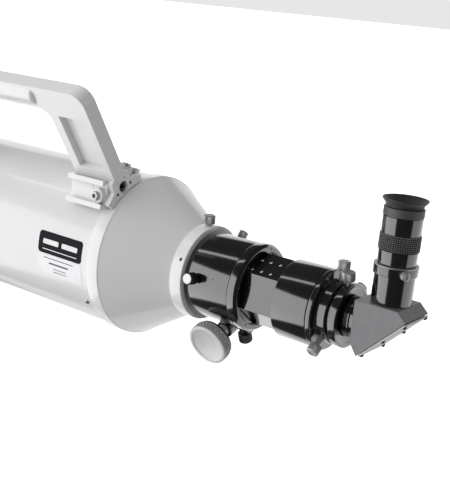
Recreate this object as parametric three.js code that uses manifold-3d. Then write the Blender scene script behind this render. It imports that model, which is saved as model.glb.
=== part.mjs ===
// Refractor telescope of 152 mm aperture in its tube rings, with a focuser and a star diagonal.
// Millimetres, +X towards the eyepiece, +Z up, -Y is the telescope's left.
// Origin: middle of the dovetail's underside.
import * as THREE from "three";
import { mergeVertices } from "three/addons/utils/BufferGeometryUtils.js";
import Module from "manifold-3d";

const wasm = await Module();
wasm.setup();

// ---- driving dimensions ----
const facets = { large: 32, medium: 20, small: 10 }; // sides of round pieces
const GAP = 0.4; // running and seating gap between separate pieces
const AXIS_Z = 122; // height of the optical axis over the dovetail's underside
const BAND_X = 545; // where the rear band of the cone ends; stations below count from here
const TUBE_TURN = 33; // the tube's turn in its rings, left side down, degrees
const FOCUSER_TURN = 22.75; // the focuser's turn on the cone, left side down, degrees

const tube = { r: 87.5, bore: 86, front: -850, rear: -16.4 };
const band = { r: 90, front: -16, rear: 0 };
const cone = { spigotFront: -40, spigotR: 85.6, end: 66.7, endR: 49, startR: 89, wall: 4.5 };
const rotator = { r: 51.2, bore: 44.4, front: 67, rear: 82 };
const cell = { front: -880, r: 94.6, bore: 76.5, lensBore: 78.4, seat: -852 };
const lens = { r: 78, curve: 700, crownEdge: [-871.5, -866.5], flintEdge: [-864.6, -852.4] };
const shield = { r: 97, bore: 95, front: -1100, rear: -846 };
const baffles = [
  { name: "baffle_front", x: -560, hole: 60 },
  { name: "baffle_rear", x: -260, hole: 44 },
];

const ring = { r: 98, bore: 89.5, half: 15, stations: { front: -665, rear: -425 } };
const hinge = { y: 104.6, r: 6, pin: 2.5, middle: 4.9 };
const clamp = { y: -107, outer: -116, height: 14, stem: 3, hole: 4.4, knobR: 9, knobH: 13 };
const bar = { length: 300, wide: 76, narrow: 66, height: 15 };
const ringBolt = { r: 3, head: 5, headH: 6, counterbore: 7 };

const saddle = { rear: -3, rearLength: 59, front: -300, frontLength: 52 };
const handle = {
  half: 8.3, foot: 113.4, top: 220, gripH: 26, round: 16, gripR: 12.6, rearLeg: 58, frontLeg: 48, web: 1.3,
};
const shoe = { left: 17, up: 99, tilt: 52, half: 15, front: -62, rear: -10, wall: 11 };

const focuser = { r: 45.5, spigotR: 43.9, front: 82.4, rear: 146, spigotFront: 56, noseR: 44 };
const endRing = { r: 46.4, front: 138.5, rear: 150, lip: 39 };
const hex = { flats: 65, boreFlats: 66.6, front: 50, rear: 188, bore: 29.5 };
const sleeve = { r: 40.5, rear: 228.2 };
const accessory = { r: 41.2, neckR: 32.5, front: 228.5, rear: 234.2, end: 245.2, bore: 25.7, screwX: 241 };
const adapter = {
  r: 32.5, neckR: 29.6, barrel: 25.2, front: 206, step: 245.5, flange: 248.9, rear: 256.4, bore: 16.2,
  screwX: 252.6, screwHole: 2.8,
};

const gear = { module: 1.2, teeth: 12, backlash: 0.25, x: 115.5, up: -43, half: 7 };
const rack = { front: 79, rear: 167, half: 6, top: -32.9 };
const shaft = { r: 4, end: 57 };
const knob = { r: 23.5, face: 61.6, thick: 11.5, hubR: 6.3, hubEnd: 31.6 };
const housing = { half: 16, front: 97, rear: 134, bottom: -57, bossR: 9.5, bossEnd: 31 };

const eyeX = 295.5; // the eyepiece's axis
const prism = {
  half: 24, front: 270.2, rear: 314.4, top: 24.9, tailX: 323.8, tailZ: 16.2, toe: 278.6, toeZ: -29, low: -17,
};
const holder = {
  r: 19.5, bottom: 25.3, top: 62.4, collarR: 21.3, collarBottom: 53, bore: 16.3, screwZ: 57.6,
};
const eyepiece = {
  barrelR: 15.8, bottom: 34, shoulder: 62.8, grip: [76.5, 91.5], top: 116.4, bodyR: 18.8, gripR: 19.6,
};

// ---- solids ----
const radians = THREE.MathUtils.degToRad;

function toSolid(geometry) {
  const bare = new THREE.BufferGeometry();
  bare.setAttribute("position", geometry.getAttribute("position"));
  bare.setIndex(geometry.getIndex());
  const merged = mergeVertices(bare, 1e-4);
  const index = [...merged.index.array];
  const triVerts = [];
  for (let i = 0; i < index.length; i += 3) {
    const [a, b, c] = index.slice(i, i + 3);
    if (a !== b && b !== c && c !== a) triVerts.push(a, b, c);
  }
  const vertProperties = new Float32Array(merged.attributes.position.array);
  const build = () => new wasm.Manifold(
    new wasm.Mesh({ numProp: 3, vertProperties, triVerts: new Uint32Array(triVerts) }),
  );
  const made = build();
  if (made.volume() > 0) return made;
  triVerts.reverse();
  return build();
}

function toGeometry(solid) {
  const mesh = solid.getMesh();
  const geometry = new THREE.BufferGeometry();
  geometry.setAttribute("position", new THREE.BufferAttribute(new Float32Array(mesh.vertProperties), 3));
  geometry.setIndex(new THREE.BufferAttribute(new Uint32Array(mesh.triVerts), 1));
  return geometry;
}

const join = (first, ...rest) => toGeometry(rest.reduce((all, g) => all.add(toSolid(g)), toSolid(first)));
const cut = (base, ...tools) => toGeometry(tools.reduce((all, g) => all.subtract(toSolid(g)), toSolid(base)));

// Turned from [station, radius] points; off the axis, the outline closes on itself.
function lathe(points, sides) {
  const outline = points.map(([station, r]) => new THREE.Vector2(r, station));
  if (points[0][1] > 0) outline.push(outline[0].clone());
  return new THREE.LatheGeometry(outline, sides);
}
const turned = (geometry) => toGeometry(toSolid(geometry));
const turnedX = (points, sides = facets.large) => turned(lathe(points, sides).rotateZ(-Math.PI / 2));
const turnedY = (points, sides = facets.medium) => turned(lathe(points, sides));
const turnedZ = (points, sides = facets.medium) => turned(lathe(points, sides).rotateX(Math.PI / 2));
const rod = (from, to, r) => [[from, 0], [from, r], [to, r], [to, 0]];
const tubeWall = (from, to, outer, inner) => [[from, inner], [from, outer], [to, outer], [to, inner]];

const toShape = (points) => new THREE.Shape(points.map(([a, b]) => new THREE.Vector2(a, b)));
function extrusion(points, depth) {
  return new THREE.ExtrudeGeometry(toShape(points), { depth, bevelEnabled: false });
}

// A (y, z) outline carried along X, and an (x, z) outline carried along Y.
function extrudedX(points, from, to) {
  const turn = new THREE.Matrix4().set(0, 0, 1, from, 1, 0, 0, 0, 0, 1, 0, 0, 0, 0, 0, 1);
  return extrusion(points, to - from).applyMatrix4(turn);
}
function extrudedY(points, from, to) {
  return extrusion(points, to - from).rotateX(Math.PI / 2).translate(0, to, 0);
}

function box(x, y, z) {
  const size = [x, y, z].map(([from, to]) => to - from);
  const middle = [x, y, z].map(([from, to]) => (from + to) / 2);
  return new THREE.BoxGeometry(...size).translate(...middle);
}

const arc = (r, from, to, steps) => Array.from({ length: steps + 1 }, (_, i) => {
  const angle = radians(from + ((to - from) * i) / steps);
  return [r * Math.cos(angle), r * Math.sin(angle)];
});
const polygon = (sides, r, start) => arc(r, start, start + 360, sides).slice(0, sides);

// A hole or rod that points out of the X axis at a station, turned left side down from the top.
const radialRod = (x, turn, from, to, r, sides = facets.small) =>
  turnedZ(rod(from, to, r), sides).rotateX(radians(turn)).translate(x, 0, 0);

// ---- scene graph ----
const finish = {
  white: { color: 0xe9e8ea, roughness: 0.4, metalness: 0.0 },
  black: { color: 0x0c0c0e, roughness: 0.15, metalness: 0.3 },
  matteBlack: { color: 0x161618, roughness: 0.7, metalness: 0.0 },
  chrome: { color: 0xc9c9cb, roughness: 0.25, metalness: 1.0 },
  grey: { color: 0x87868a, roughness: 0.45, metalness: 0.6 },
  steel: { color: 0x9a9a9e, roughness: 0.35, metalness: 1.0 },
  glass: { color: 0xcfdde4, roughness: 0.02, metalness: 0.0, transparent: true, opacity: 0.35 },
  mirror: { color: 0xf2f2f2, roughness: 0.02, metalness: 1.0 },
  rubber: { color: 0x141414, roughness: 0.85, metalness: 0.0 },
};

function piece(group, name, look, geometry) {
  const mesh = new THREE.Mesh(geometry, new THREE.MeshStandardMaterial(finish[look]));
  mesh.name = name;
  group.add(mesh);
  return mesh;
}

function subgroup(parent, { x = 0, y = 0, z = 0, turn = 0 } = {}) {
  const group = new THREE.Group();
  group.position.set(x, y, z);
  group.rotation.x = radians(turn);
  parent.add(group);
  return group;
}

const telescope = new THREE.Group();
const axis = subgroup(telescope, { x: BAND_X, z: AXIS_Z });

// ---- tube rings on their dovetail bar ----
function makeBar() {
  const half = bar.length / 2;
  const [w, n] = [bar.wide / 2, bar.narrow / 2];
  const blank = extrudedX([[-w, 0], [w, 0], [n, bar.height], [-n, bar.height]], -half, half);
  const holes = Object.values(ring.stations).flatMap((x) => [
    turnedZ(rod(-1, ringBolt.counterbore, ringBolt.head + 0.6), facets.small).translate(x + BAND_X, 0, 0),
    turnedZ(rod(0, bar.height + 1, ringBolt.r + GAP), facets.small).translate(x + BAND_X, 0, 0),
  ]);
  piece(telescope, "dovetail_bar", "black", cut(blank, ...holes));
}

function makeRing(place, station) {
  const group = subgroup(axis, { x: station });
  const { half } = ring;
  const foot = bar.height - AXIS_Z + GAP;
  const arch = (from, to) => [...arc(ring.r, from, to, 14), ...arc(ring.bore, to, from, 14)];
  const knuckle = (from, to) => turnedX(rod(from, to, hinge.r), facets.small).translate(0, hinge.y, 0);
  const web = (x, z) => box(x, [ring.r - 4, hinge.y], z);
  const pinHole = turnedX(rod(-half - 1, half + 1, hinge.pin + GAP), facets.small).translate(0, hinge.y, 0);
  const lug = (z) => box([-half + 4, half - 4], [clamp.outer, -ring.r + 4], z);
  const side = hinge.middle + GAP;

  const lower = join(
    extrudedX(arch(180.3, 359.7), -half, half),
    box([-half, half], [-30, 30], [foot, -ring.bore - 2]),
    lug([-clamp.height, -GAP]),
    web([-half, -side], [-hinge.r, -GAP]),
    web([side, half], [-hinge.r, -GAP]),
    knuckle(-half, -side),
    knuckle(side, half),
  );
  const boltHole = turnedZ(rod(foot - 1, foot + 9, ringBolt.r + GAP), facets.small);
  const stemHole = turnedZ(rod(-clamp.height - 1, 1, clamp.hole), facets.small).translate(0, clamp.y, 0);
  piece(group, `ring_lower_${place}`, "white", cut(lower, pinHole, boltHole, stemHole));

  const upper = join(
    extrudedX(arch(0.3, 179.7), -half, half),
    lug([GAP, clamp.height]),
    web([-hinge.middle, hinge.middle], [GAP, hinge.r]),
    knuckle(-hinge.middle, hinge.middle),
  );
  const captive = rod(0, clamp.height + 1, clamp.stem + GAP);
  const captiveHole = turnedZ(captive, facets.small).translate(0, clamp.y, 0);
  piece(group, `ring_upper_${place}`, "white", cut(upper, pinHole, captiveHole));

  const pin = turnedX(rod(-half - 1, half + 1, hinge.pin), facets.small).translate(0, hinge.y, 0);
  piece(group, `ring_hinge_pin_${place}`, "steel", pin);

  const base = clamp.height + GAP;
  const knobOutline = [
    [2 - clamp.height, 0], [2 - clamp.height, clamp.stem], [base, clamp.stem],
    [base, clamp.knobR], [base + clamp.knobH, clamp.knobR], [base + clamp.knobH, 0],
  ];
  const knob = turnedZ(knobOutline, facets.small).translate(0, clamp.y, 0);
  piece(group, `ring_clamp_knob_${place}`, "matteBlack", knob);

  const headTop = ringBolt.counterbore - GAP;
  const boltOutline = [
    [headTop - ringBolt.headH, 0], [headTop - ringBolt.headH, ringBolt.head], [headTop, ringBolt.head],
    [headTop, ringBolt.r], [bar.height + 8, ringBolt.r], [bar.height + 8, 0],
  ];
  piece(group, `ring_bolt_${place}`, "steel", turnedZ(boltOutline, facets.small).translate(0, 0, -AXIS_Z));
}

// ---- tube, objective and cone ----
const tubeGroup = subgroup(axis, { turn: TUBE_TURN });

function makeTube() {
  const wall = ({ front, rear, r, bore }) => turnedX(tubeWall(front, rear, r, bore));
  piece(tubeGroup, "main_tube", "white", wall(tube));
  piece(tubeGroup, "dew_shield", "white", wall(shield));
  for (const { name, x, hole } of baffles)
    piece(tubeGroup, name, "matteBlack", turnedX(tubeWall(x, x + 2, tube.bore - GAP, hole)));

  const spigot = tube.bore - GAP;
  const shoulder = tube.front - GAP;
  piece(tubeGroup, "objective_cell", "matteBlack", turnedX([
    [cell.front, cell.lensBore], [cell.front, cell.r], [shoulder, cell.r], [shoulder, spigot],
    [tube.front + 24, spigot], [tube.front + 24, spigot - 4], [cell.seat + 6, cell.bore],
    [cell.seat, cell.bore], [cell.seat, cell.lensBore],
  ]));
  const clampFrom = cell.front + 1;
  piece(tubeGroup, "lens_retaining_ring", "matteBlack",
    turnedX(tubeWall(clampFrom, clampFrom + 5, cell.lensBore - 0.3, cell.bore - 0.5)));
}

// One face of a lens: points from the axis to the rim of a spherical cap with its rim at a station.
function lensFace(rim, bulge) {
  const steps = 3;
  return Array.from({ length: steps + 1 }, (_, i) => {
    const r = (lens.r * i) / steps;
    const sag = (lens.r ** 2 - r ** 2) / (2 * lens.curve);
    return [rim + bulge * sag, r];
  });
}

function makeObjective() {
  const [crownFront, crownRear] = lens.crownEdge;
  const crown = [...lensFace(crownFront, -1), ...lensFace(crownRear, 1).reverse()];
  piece(tubeGroup, "crown_lens", "glass", turnedX(crown));
  const [flintFront, flintRear] = lens.flintEdge;
  const flint = [...lensFace(flintFront, 1), [flintRear, lens.r], [flintRear, 0]];
  piece(tubeGroup, "flint_lens", "glass", turnedX(flint));
  const spacer = tubeWall(crownRear + GAP, flintFront - GAP, lens.r - 0.2, lens.r - 3);
  piece(tubeGroup, "lens_spacer", "matteBlack", turnedX(spacer));
}

function makeCone() {
  const hollow = cone.wall;
  const body = turnedX([
    [cone.spigotFront, cone.spigotR], [band.front, cone.spigotR], [band.front, band.r], [band.rear, band.r],
    [band.rear, cone.startR], [cone.end, cone.endR], [cone.end, rotator.bore], [cone.end - 5, rotator.bore],
    [band.rear, cone.startR - hollow], [cone.spigotFront, cone.spigotR - 2.5],
  ]);
  piece(tubeGroup, "rear_cone", "white", body);
}

// The rotator ring's thumbscrew stands one degree off the vertical, whatever the tube's turn.
const rotatorScrew = { x: 74.5, turn: 1 - TUBE_TURN };
const chromeScrew = { stem: 3.2, hole: 3.7, head: 6.4 };

function thumbscrew({ tip, seat, headH, stem = chromeScrew.stem, head = chromeScrew.head }) {
  const top = seat + headH;
  return turnedZ([[tip, 0], [tip, stem], [seat, stem], [seat, head], [top, head], [top, 0]], facets.small);
}

function makeRotatorRing() {
  const hole = radialRod(rotatorScrew.x, rotatorScrew.turn, 40, 60, chromeScrew.hole);
  const blank = turnedX(tubeWall(rotator.front, rotator.rear, rotator.r, rotator.bore));
  piece(tubeGroup, "rotator_ring", "white", cut(blank, hole));
  const group = subgroup(tubeGroup, rotatorScrew);
  piece(group, "rotator_lock_screw", "chrome", thumbscrew({ tip: 44.8, seat: 53, headH: 9.5 }));
}

// ---- carrying handle on its two saddles, with a finder shoe on each flank ----
const saddleOutline = [[10.5, 90.7], [24.5, 87.7], [27.5, 94.5], [14.2, 101], [13.5, 111.5], [10, 113]];
const mirrored = (points) => [...points, ...points.map(([y, z]) => [-y, z]).reverse()];

// Places a geometry made around the shoe's own floor (s across, h out of it) on the left or right flank.
function onFlank(geometry, side) {
  return geometry.rotateX(radians(-side * shoe.tilt)).translate(0, side * shoe.left, shoe.up);
}

const finderScrew = { x: -19, across: 2 };

function makeSaddles() {
  const from = saddle.rear - saddle.rearLength;
  const tubeRoom = turnedX(rod(from - 1, saddle.rear + 1, band.r + GAP));
  const pads = [-1, 1].map((side) => {
    const pad = box([shoe.front + 2, shoe.rear - 2], [-shoe.half, shoe.half], [-14, -GAP]);
    return onFlank(pad, side);
  });
  const shoeRooms = [-1, 1].map((side) => {
    const room = box([shoe.front - 2, shoe.rear + GAP], [-shoe.half - GAP, shoe.half + GAP], [-GAP, 30]);
    return onFlank(room, side);
  });
  const boltHole = turnedX(rod(-45, 0, 4.4), facets.small).translate(0, 0, 99);
  const headHole = turnedX(rod(-12, 0, 6.4), facets.small).translate(0, 0, 99);
  const blank = join(extrudedX(mirrored(saddleOutline), from, saddle.rear), ...pads);
  piece(tubeGroup, "handle_saddle_rear", "white", cut(blank, tubeRoom, ...shoeRooms, boltHole, headHole));

  const to = saddle.front + saddle.frontLength;
  const frontRoom = turnedX(rod(saddle.front - 1, to + 1, tube.r + GAP));
  const frontBolt = turnedX(rod(saddle.front - 1, saddle.front + 40, 4.4), facets.small).translate(0, 0, 99);
  const frontHead = turnedX(rod(saddle.front - 1, saddle.front + 6, 6.4), facets.small).translate(0, 0, 99);
  const frontBlank = extrudedX(mirrored(saddleOutline), saddle.front, to);
  piece(tubeGroup, "handle_saddle_front", "white", cut(frontBlank, frontRoom, frontBolt, frontHead));

  const bolt = (head, way) => {
    const points = [[0, 0], [0, 6], [5, 6], [5, 4], [34, 4], [34, 0]].map(([x, r]) => [head + way * x, r]);
    return turnedX(points, facets.small).translate(0, 0, 99);
  };
  piece(tubeGroup, "handle_bolt_rear", "steel", bolt(saddle.rear - 3, -1));
  piece(tubeGroup, "handle_bolt_front", "steel", bolt(saddle.front + 0.5, 1));
}

function makeHandle() {
  const rear = saddle.rear + 0.5;
  const front = saddle.front + 2;
  const inner = handle.top - handle.gripH;
  const { round } = handle;
  const outline = [
    [rear, handle.foot],
    ...arc(round, 0, 90, 5).map(([x, z]) => [rear - round + x, handle.top - round + z]),
    ...arc(round, 90, 180, 5).map(([x, z]) => [front + round + x, handle.top - round + z]),
    [front, handle.foot], [front + handle.frontLeg, handle.foot],
    ...arc(round, 180, 90, 4).map(([x, z]) => [front + handle.frontLeg + round + x, inner - round + z]),
    ...arc(round, 90, 0, 4).map(([x, z]) => [rear - handle.rearLeg - round + x, inner - round + z]),
    [rear - handle.rearLeg, handle.foot],
  ];
  const pocket = (x0, x1, side) => box([x0, x1], side < 0 ? [-20, -handle.web] : [handle.web, 20],
    [handle.foot + 10.8, inner - 6]);
  const pockets = [-1, 1].flatMap((side) => [
    pocket(rear - handle.rearLeg + 12, rear - 8, side),
    pocket(front + 8, front + handle.frontLeg - 10, side),
  ]);
  const grip = turnedX(rod(front + 62, rear - handle.rearLeg - 14, handle.gripR), facets.small)
    .translate(0, 0, handle.top - handle.gripH / 2);
  const bow = cut(extrudedY(outline, -handle.half, handle.half), ...pockets);
  piece(tubeGroup, "handle", "white", join(bow, grip));
}

function makeShoes() {
  const { half, wall } = shoe;
  const channel = [
    [-half, 0], [half, 0], [half, wall], [half - 5.5, wall], [half - 2.6, 3.5], [2.6 - half, 3.5],
    [5.5 - half, wall], [-half, wall],
  ];
  for (const [word, side] of [["left", -1], ["right", 1]]) {
    const across = finderScrew.across * side;
    const boss = turnedZ(rod(0.5, wall - 2, 8.2), facets.small).translate(finderScrew.x, across, 0);
    const hole = turnedZ(rod(-1, wall, 4), facets.small).translate(finderScrew.x, across, 0);
    const pad = box([shoe.front + 1, finderScrew.x - 11], [-8, 8], [3, 3.8]);
    const shoeBody = cut(join(extrudedX(channel, shoe.front, shoe.rear), boss, pad), hole);
    piece(tubeGroup, `finder_shoe_${word}`, "white", onFlank(shoeBody, side));
    const screw = turnedZ([[0.4, 0], [0.4, 3.5], [9.6, 3.5], [9.6, 5], [13, 5], [13, 0]], facets.small);
    screw.translate(finderScrew.x, finderScrew.across * side, 0);
    piece(tubeGroup, `finder_clamp_screw_${word}`, "chrome", onFlank(screw, side));
  }
}

// ---- focuser ----
const focuserGroup = subgroup(axis, { turn: FOCUSER_TURN });
const pressScrewX = 97; // station of the two screws that press on the drawtube's flats
const hexagon = (flats, x0, x1) => extrudedX(polygon(6, flats / Math.sqrt(3), 0), x0, x1);

function makeFocuserBody() {
  const end = focuser.rear;
  const blank = turnedX([
    [focuser.spigotFront, 0], [focuser.spigotFront, focuser.spigotR], [focuser.front, focuser.spigotR],
    [focuser.front, focuser.r], [endRing.front - GAP, focuser.r],
    [endRing.front - GAP, focuser.noseR], [end, focuser.noseR], [end, 0],
  ]);
  const window = box([gear.x - 10.5, gear.x + 10.5], [-8.2, 8.2], [-60, -30]);
  const shaftHole = turnedY(rod(-60, 60, shaft.r + 0.5), facets.small).translate(gear.x, 0, gear.up);
  const rackSlot = box([focuser.spigotFront - 1, end + 1], [-rack.half - 1, rack.half + 1], [-37.8, -30]);
  const pressHoles = [60, -60].map((turn) => radialRod(pressScrewX, turn, 30, 50, 3.5));
  const bore = hexagon(hex.boreFlats, focuser.spigotFront - 1, end + 1);
  piece(focuserGroup, "focuser_body", "black", cut(blank, bore, rackSlot, window, shaftHole, ...pressHoles));

  const inner = focuser.noseR + GAP;
  piece(focuserGroup, "focuser_end_ring", "black", turnedX([
    [endRing.front, inner], [endRing.front, endRing.r], [endRing.rear - 3.2, endRing.r],
    [endRing.rear, endRing.r - 3.2], [endRing.rear, endRing.lip],
    [end + GAP, endRing.lip], [end + GAP, inner],
  ]));
}

function makePinionHousing() {
  const blank = join(
    box([housing.front, housing.rear], [-housing.half, housing.half], [housing.bottom, -36]),
    turnedY(rod(-housing.bossEnd, housing.bossEnd, housing.bossR), facets.small)
      .translate(gear.x, 0, gear.up - 1),
  );
  const bodyRoom = turnedX(rod(50, 138, focuser.r + GAP));
  const gearRoom = turnedY(rod(-8.2, 8.2, 9.3), 24).translate(gear.x, 0, gear.up);
  const shaftHole = turnedY(rod(-60, 60, shaft.r + 0.5), facets.small).translate(gear.x, 0, gear.up);
  const lockHole = turnedZ(rod(housing.bottom - 1, -50, 3.5), facets.small).translate(gear.x, 0, 0);
  piece(focuserGroup, "pinion_housing", "black", cut(blank, bodyRoom, gearRoom, shaftHole, lockHole));
}

function makePressScrews() {
  const left = subgroup(focuserGroup, { x: pressScrewX, turn: 60 });
  piece(left, "tension_knob", "matteBlack", thumbscrew({ tip: 34, seat: 48, headH: 12, stem: 3, head: 6.3 }));
  const right = subgroup(focuserGroup, { x: pressScrewX, turn: -60 });
  piece(right, "brake_screw", "chrome", thumbscrew({ tip: 34, seat: 47, headH: 8.5, stem: 3, head: 5 }));
  const lock = [[-54.4, 0], [-54.4, 3], [-69, 3], [-69, 7.6], [-81, 7.6], [-81, 0]];
  piece(focuserGroup, "focus_lock_knob", "matteBlack", turnedZ(lock, facets.small).translate(gear.x, 0, 0));
}

// Involute teeth on their root circle; the first tooth points at the rack.
function gearOutline() {
  const pitch = (gear.module * gear.teeth) / 2;
  const base = pitch * Math.cos(radians(20));
  const involute = (r) => {
    const angle = Math.acos(Math.min(1, base / r));
    return Math.tan(angle) - angle;
  };
  const halfAtPitch = (Math.PI * gear.module) / 4 / pitch - gear.backlash / 2 / pitch;
  const halfAt = (r) => halfAtPitch + involute(pitch) - involute(Math.max(r, base));
  const radii = [pitch - 1.25, base, pitch, pitch + 0.45, pitch + 0.9];
  return Array.from({ length: gear.teeth }, (_, tooth) => {
    const middle = Math.PI / 2 + (2 * Math.PI * tooth) / gear.teeth;
    const flank = (side) => radii.map((r) => {
      const angle = middle + side * halfAt(r);
      return [r * Math.cos(angle), r * Math.sin(angle)];
    });
    return [...flank(-1), ...flank(1).reverse()];
  }).flat();
}

function rackOutline() {
  const pitch = Math.PI * gear.module;
  const line = gear.up + (gear.module * gear.teeth) / 2;
  const half = pitch / 4 - gear.backlash / 2;
  const slope = Math.tan(radians(20));
  const [root, tip] = [line + 1.1, line - 0.9];
  const points = [[rack.front, rack.top], [rack.front, root]];
  const first = Math.ceil((rack.front + 2 - gear.x) / pitch - 0.5);
  for (let k = first; gear.x + (k + 0.5) * pitch < rack.rear - 2; k++) {
    const middle = gear.x + (k + 0.5) * pitch;
    const [atRoot, atTip] = [half + 1.1 * slope, half - 0.9 * slope];
    points.push([middle - atRoot, root], [middle - atTip, tip]);
    points.push([middle + atTip, tip], [middle + atRoot, root]);
  }
  return [...points, [rack.rear, root], [rack.rear, rack.top]];
}

function makeFocusShaft() {
  const group = subgroup(focuserGroup, { x: gear.x, z: gear.up });
  const core = turnedY(rod(-shaft.end, shaft.end, shaft.r), facets.small);
  const shaftSolid = join(core, extrudedY(gearOutline(), -gear.half, gear.half));
  piece(group, "pinion_shaft", "steel", shaftSolid);
  const back = knob.face - knob.thick;
  const outline = [
    [knob.face - 1.2, 0], [knob.face - 1.2, knob.r - 3.5], [knob.face, knob.r - 2.6], [knob.face, knob.r - 1],
    [knob.face - 1, knob.r], [back, knob.r], [back, knob.hubR], [knob.hubEnd, knob.hubR],
    [knob.hubEnd, shaft.r + GAP], [shaft.end + GAP, shaft.r + GAP], [shaft.end + GAP, 0],
  ];
  for (const [word, side] of [["left", -1], ["right", 1]]) {
    const profile = outline.map(([y, r]) => [side * y, r]);
    piece(group, `focus_knob_${word}`, "chrome", turnedY(profile));
  }
}

// Turns count from the focuser's own top for the ring's screws, and from the upright for the adapter's.
const accessoryScrews = [
  { name: "accessory_screw_top", turn: -0.5 - FOCUSER_TURN, seat: 42.5 },
  { name: "accessory_screw_low", turn: 129 - FOCUSER_TURN, seat: 43.2 },
  { name: "accessory_screw_side", turn: -68 - FOCUSER_TURN, seat: 37 },
];
const adapterScrew = { turn: 12, seat: 37 };

function makeDrawtube() {
  const bore = turnedX(rod(hex.front - 1, hex.rear + 1, hex.bore), facets.medium);
  piece(focuserGroup, "drawtube", "black", cut(hexagon(hex.flats, hex.front, hex.rear), bore));
  piece(focuserGroup, "focus_rack", "steel", extrudedY(rackOutline(), -rack.half, rack.half));
  piece(focuserGroup, "drawtube_sleeve", "black",
    turnedX(tubeWall(hex.rear + 0.3, sleeve.rear, sleeve.r, hex.bore)));

  const { screwX } = accessory;
  const holes = accessoryScrews.map(({ turn }) => radialRod(screwX, turn, 22, 50, chromeScrew.hole));
  const blank = turnedX([
    [accessory.front, accessory.bore], [accessory.front, accessory.r - 1], [accessory.front + 1, accessory.r],
    [accessory.rear, accessory.r], [accessory.rear, accessory.neckR], [accessory.end, accessory.neckR],
    [accessory.end, accessory.bore],
  ]);
  piece(focuserGroup, "accessory_ring", "black", cut(blank, ...holes));
  accessoryScrews.forEach(({ name, turn, seat }) => {
    const group = subgroup(focuserGroup, { x: screwX, turn });
    piece(group, name, "chrome", thumbscrew({ tip: 26.2, seat, headH: 9.5 }));
  });
}

function makeAdapter() {
  const group = subgroup(axis);
  const blank = turnedX([
    [adapter.front, adapter.bore], [adapter.front, adapter.barrel], [adapter.step, adapter.barrel],
    [adapter.step, adapter.neckR], [adapter.flange - 0.6, adapter.neckR], [adapter.flange, adapter.r],
    [adapter.rear, adapter.r], [adapter.rear, adapter.bore],
  ]);
  const hole = radialRod(adapter.screwX, adapterScrew.turn, 12, 40, adapter.screwHole);
  piece(group, "eyepiece_adapter", "black", cut(blank, hole));
  const place = subgroup(group, { x: adapter.screwX, turn: adapterScrew.turn });
  const screw = thumbscrew({ tip: 16.9, seat: adapterScrew.seat, headH: 9.5, stem: 2.3, head: 6.4 });
  piece(place, "adapter_screw", "chrome", screw);
}

// ---- star diagonal ----
function makeDiagonal() {
  const group = subgroup(axis);
  piece(group, "diagonal_nose", "black", turnedX([
    [226, 14], [226, 15.8], [256.8, 15.8], [256.8, 21], [260.1, 21], [260.1, 19.4], [261.9, 19.4],
    [261.9, 21], [264.2, 21], [264.2, 19.2], [prism.front - 0.3, 19.2], [prism.front - 0.3, 14],
  ]));

  const outline = [
    [prism.front, prism.top], [prism.rear, prism.top], [prism.tailX, prism.tailZ], [prism.toe, prism.toeZ],
    [prism.front, prism.low],
  ];
  const lightIn = turnedX(rod(prism.front - 1, eyeX, 14), facets.medium);
  const lightOut = turnedZ(rod(0, prism.top + 1, 14), facets.medium).translate(eyeX, 0, 0);
  const face = (prism.tailX - prism.tailZ - eyeX) / Math.SQRT2; // from the optical axis to the slanted face
  const slanted = (along, across, from, to) =>
    box([-along, along], [-across, across], [-to, -from]).rotateY(radians(-45)).translate(eyeX, 0, 0);
  const mirrorBed = slanted(24, 18.5, -1, face + 3);
  const body = cut(extrudedY(outline, -prism.half, prism.half), lightIn, lightOut, mirrorBed);
  piece(group, "diagonal_housing", "grey", body);
  piece(group, "diagonal_mirror", "mirror", slanted(23.5, 18, 0, 6));
  piece(group, "mirror_cover", "steel", slanted(30, prism.half, face + 0.5, face + 2.3));

  const azimuth = 46; // the holder's thumbscrew, from the left side towards the rear
  const screwTurn = (g) => g.rotateX(Math.PI / 2).rotateZ(radians(azimuth)).translate(eyeX, 0, holder.screwZ);
  const holderSolid = turnedZ([
    [holder.bottom, holder.bore], [holder.bottom, holder.r], [holder.collarBottom, holder.r],
    [holder.collarBottom, holder.collarR], [holder.top, holder.collarR], [holder.top, holder.bore],
  ], facets.medium).translate(eyeX, 0, 0);
  const hole = screwTurn(turnedZ(rod(12, 30, 2.5), facets.small));
  piece(group, "eyepiece_holder", "black", cut(holderSolid, hole));
  const screw = turnedZ([[16.9, 0], [16.9, 2], [22.2, 2], [22.2, 4.2], [29, 4.2], [29, 0]], facets.small);
  piece(group, "holder_screw", "chrome", screwTurn(screw));
}

// ---- eyepiece ----
function makeEyepiece() {
  const group = subgroup(axis, { x: eyeX });
  const { bodyR, gripR, shoulder, top } = eyepiece;
  piece(group, "eyepiece_barrel", "chrome",
    turnedZ(tubeWall(eyepiece.bottom, shoulder - 0.3, eyepiece.barrelR, 14)));
  piece(group, "eyepiece_body", "black", turnedZ([
    [shoulder, 13], [shoulder, bodyR - 0.4], [eyepiece.grip[0], bodyR - 0.1], [eyepiece.grip[0], gripR],
    [eyepiece.grip[1], gripR], [eyepiece.grip[1], bodyR], [108.3, bodyR], [108.3, bodyR + 0.3],
    [top, bodyR + 0.3], [top, 12.4], [110, 12.4], [110, 11], [shoulder + 6, 11],
  ], facets.medium));
  const lens = [[104, 0], [104, 10.5], [109, 10.5], [111.5, 6], [112.2, 0]];
  piece(group, "eye_lens", "glass", turnedZ(lens, 24));
  piece(group, "eyecup", "rubber", turnedZ([
    [top + 0.4, 13], [top + 0.4, 17.4], [118.6, 17.6], [123, 21.6],
    [124.4, 21.6], [124.4, 20.2], [119.4, 14.5],
  ], facets.medium));
}

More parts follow.
